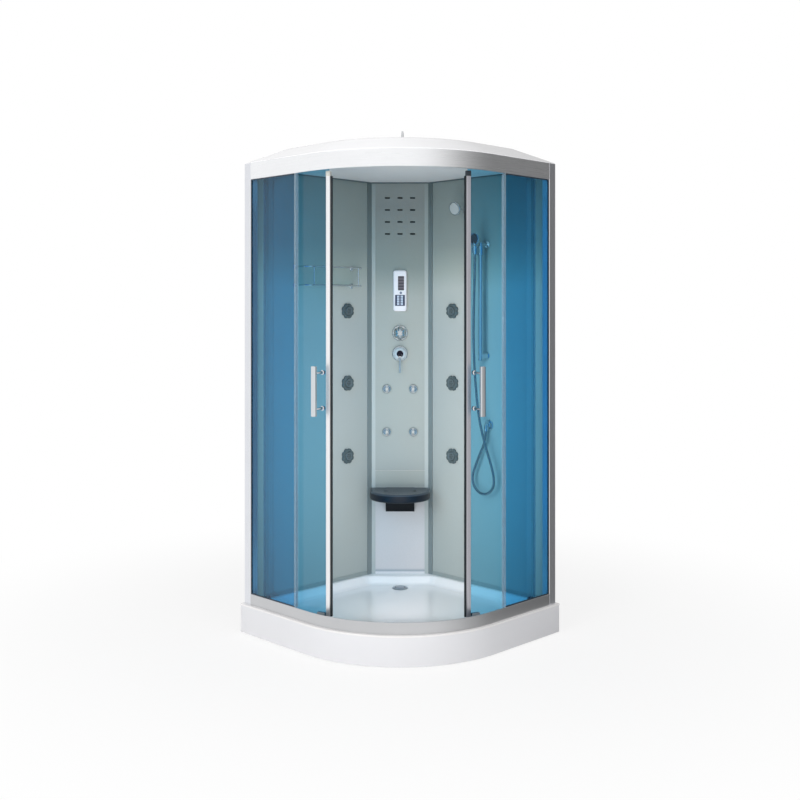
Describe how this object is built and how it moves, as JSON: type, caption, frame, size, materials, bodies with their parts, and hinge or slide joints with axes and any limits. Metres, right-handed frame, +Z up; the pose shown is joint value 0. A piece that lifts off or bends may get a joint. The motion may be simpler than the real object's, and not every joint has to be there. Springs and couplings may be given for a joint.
{
  "type": "quadrant shower enclosure",
  "caption": "Corner steam shower cabin with a curved tray and roof, sliding curved glass doors, frosted walls and a control column with seat, jets and hand shower.",
  "frame": {"origin": "on the floor under the middle of the tray's bounding box, midway between the two wall sides' ends", "axes": "+Z up, doors face -Y, the room corner is on +Y, +X to the right as seen from in front"},
  "size_m": [1.4142, 1.1862, 2.168],
  "materials": {
    "white_acrylic": "gloss white sanitary acrylic",
    "satin_aluminium": "bright satin anodised",
    "tinted_glass": "toughened, light blue-grey tint",
    "frosted_panel": "frosted grey-green back, nearly opaque",
    "column_board": "smooth grey-green board",
    "black_rubber": "matt black seal",
    "chrome": "polished",
    "chromed_plastic": "chrome plated plastic",
    "dark_plastic": "dark grey moulded plastic",
    "silver_plastic": "silver moulded case",
    "display": "dark window and membrane keypad",
    "nylon": "white nylon",
    "stainless_steel": "brushed",
    "galvanised_steel": "galvanised",
    "grey_pvc": "grey moulded PVC",
    "brass": "raw cast brass",
    "hose_steel": "spiral wound metal hose"
  },
  "bodies": {
    "root": {"shower_tray": "white_acrylic", "tray_skirt": "white_acrylic", "tray_frame": "galvanised_steel", "tray_feet": "galvanised_steel", "waste_trap": "grey_pvc", "waste_cover": "chrome", "bottom_rail": "satin_aluminium", "top_rail": "satin_aluminium", "roller_tracks": "satin_aluminium", "wall_posts": "satin_aluminium", "fixed_glass": "tinted_glass", "glazing_seals": "black_rubber", "wall_panels": "frosted_panel", "wall_trims": "satin_aluminium", "corner_profiles": "satin_aluminium", "column_panel": "column_board", "column_lower_panel": "white_acrylic", "supply_pipes": "brass", "valve_plates": "chrome", "column_nozzles": "chromed_plastic", "controller_case": "silver_plastic", "controller_window": "display", "seat_bracket": "dark_plastic", "shelf": "chrome", "riser_rail": "chrome", "hose_elbow": "chrome", "shower_hose": "hose_steel", "overhead_arm": "chrome", "frame_screws": "stainless_steel", "ceiling_panel": "white_acrylic", "roof": "white_acrylic", "antenna": "black_rubber", "jet_sockets": "dark_plastic"},
    "handset_slider": {"handset_slider": "chromed_plastic"},
    "handset": {"handset": "chromed_plastic"},
    "mixer_cap": {"mixer_cap": "chrome"},
    "mixer_lever": {"mixer_lever": "chrome"},
    "diverter_knob": {"diverter_knob": "chrome"},
    "overhead_head": {"overhead_head": "chromed_plastic"},
    "seat_board": {"seat_board": "dark_plastic"},
    "left_door": {"left_door_glass": "tinted_glass", "left_door_stile": "satin_aluminium", "left_door_seals": "black_rubber", "left_door_handle": "chrome", "left_door_carriers": "dark_plastic"},
    "left_front_wheel": {"left_front_wheel": "nylon"},
    "left_rear_wheel": {"left_rear_wheel": "nylon"},
    "left_upper_jet": {"left_upper_jet": "chromed_plastic"},
    "left_middle_jet": {"left_middle_jet": "chromed_plastic"},
    "left_lower_jet": {"left_lower_jet": "chromed_plastic"},
    "right_door": {"right_door_glass": "tinted_glass", "right_door_stile": "satin_aluminium", "right_door_seals": "black_rubber", "right_door_handle": "chrome", "right_door_carriers": "dark_plastic"},
    "right_front_wheel": {"right_front_wheel": "nylon"},
    "right_rear_wheel": {"right_rear_wheel": "nylon"},
    "right_upper_jet": {"right_upper_jet": "chromed_plastic"},
    "right_middle_jet": {"right_middle_jet": "chromed_plastic"},
    "right_lower_jet": {"right_lower_jet": "chromed_plastic"}
  },
  "joints": [
    {"name": "right_door_slide", "type": "hinge", "parent": "root", "child": "right_door", "pos_m": [-0.107, 0.226, 0], "axis": [0, 0, 1], "range_deg": [-21.3, 0.8]},
    {"name": "right_front_roll", "type": "hinge", "parent": "right_door", "child": "right_front_wheel", "pos_m": [0.29386, -0.39602, 2.0283], "axis": [0.5417, -0.8406, 0], "range_deg": [-76, 1762]},
    {"name": "right_rear_roll", "type": "hinge", "parent": "right_door", "child": "right_rear_wheel", "pos_m": [0.53643, -0.13952, 2.0283], "axis": [0.8695, -0.4939, 0], "range_deg": [-76, 1762]},
    {"name": "left_door_slide", "type": "hinge", "parent": "root", "child": "left_door", "pos_m": [0.107, 0.226, 0], "axis": [0, 0, 1], "range_deg": [-0.8, 22.5]},
    {"name": "left_front_roll", "type": "hinge", "parent": "left_door", "child": "left_front_wheel", "pos_m": [-0.3068, -0.38749, 2.0283], "axis": [-0.5592, -0.829, 0], "range_deg": [-1861, 76]},
    {"name": "left_rear_roll", "type": "hinge", "parent": "left_door", "child": "left_rear_wheel", "pos_m": [-0.54394, -0.12596, 2.0283], "axis": [-0.8796, -0.4756, 0], "range_deg": [-1861, 76]},
    {"name": "slider_height", "type": "slide", "parent": "root", "child": "handset_slider", "axis": [0, 0, 1], "range_m": [-0.45, 0], "deforming": ["shower_hose"]},
    {"name": "handset_swivel", "type": "hinge", "parent": "handset_slider", "child": "handset", "pos_m": [0.34521, 0.09172, 1.7], "axis": [0, 0, 1], "range_deg": [-60, 60]},
    {"name": "mixer_temperature", "type": "hinge", "parent": "root", "child": "mixer_cap", "pos_m": [0, 0.4182, 1.212], "axis": [0, -1, 0], "range_deg": [-50, 50]},
    {"name": "mixer_flow", "type": "hinge", "parent": "mixer_cap", "child": "mixer_lever", "pos_m": [0, 0.3858, 1.1965], "axis": [-1, 0, 0], "range_deg": [0, 25]},
    {"name": "diverter_turn", "type": "hinge", "parent": "root", "child": "diverter_knob", "pos_m": [0, 0.4182, 1.313], "axis": [0, -1, 0], "range_deg": [-90, 90]},
    {"name": "overhead_tilt", "type": "hinge", "parent": "root", "child": "overhead_head", "pos_m": [0.27188, 0.20181, 1.908], "axis": [0.7071, -0.7071, 0], "range_deg": [-12, 12]},
    {"name": "seat_fold", "type": "hinge", "parent": "root", "child": "seat_board", "pos_m": [0, 0.3922, 0.542], "axis": [-1, 0, 0], "range_deg": [0, 90]},
    {"name": "right_upper_jet_tilt", "type": "hinge", "parent": "root", "child": "right_upper_jet", "pos_m": [0.2489, 0.30116, 1.421], "axis": [0.7071, -0.7071, 0], "range_deg": [-12, 12]},
    {"name": "left_upper_jet_tilt", "type": "hinge", "parent": "root", "child": "left_upper_jet", "pos_m": [-0.2489, 0.30116, 1.421], "axis": [-0.7071, -0.7071, 0], "range_deg": [-12, 12]},
    {"name": "right_middle_jet_tilt", "type": "hinge", "parent": "root", "child": "right_middle_jet", "pos_m": [0.2489, 0.30116, 1.074], "axis": [0.7071, -0.7071, 0], "range_deg": [-12, 12]},
    {"name": "left_middle_jet_tilt", "type": "hinge", "parent": "root", "child": "left_middle_jet", "pos_m": [-0.2489, 0.30116, 1.074], "axis": [-0.7071, -0.7071, 0], "range_deg": [-12, 12]},
    {"name": "right_lower_jet_tilt", "type": "hinge", "parent": "root", "child": "right_lower_jet", "pos_m": [0.2489, 0.30116, 0.723], "axis": [0.7071, -0.7071, 0], "range_deg": [-12, 12]},
    {"name": "left_lower_jet_tilt", "type": "hinge", "parent": "root", "child": "left_lower_jet", "pos_m": [-0.2489, 0.30116, 0.723], "axis": [-0.7071, -0.7071, 0], "range_deg": [-12, 12]}
  ],
  "couplings": [
    {"joint": "right_front_roll", "follows": "right_door_slide", "ratio": -82.222},
    {"joint": "right_rear_roll", "follows": "right_door_slide", "ratio": -82.222},
    {"joint": "left_front_roll", "follows": "left_door_slide", "ratio": -82.222},
    {"joint": "left_rear_roll", "follows": "left_door_slide", "ratio": -82.222}
  ]
}
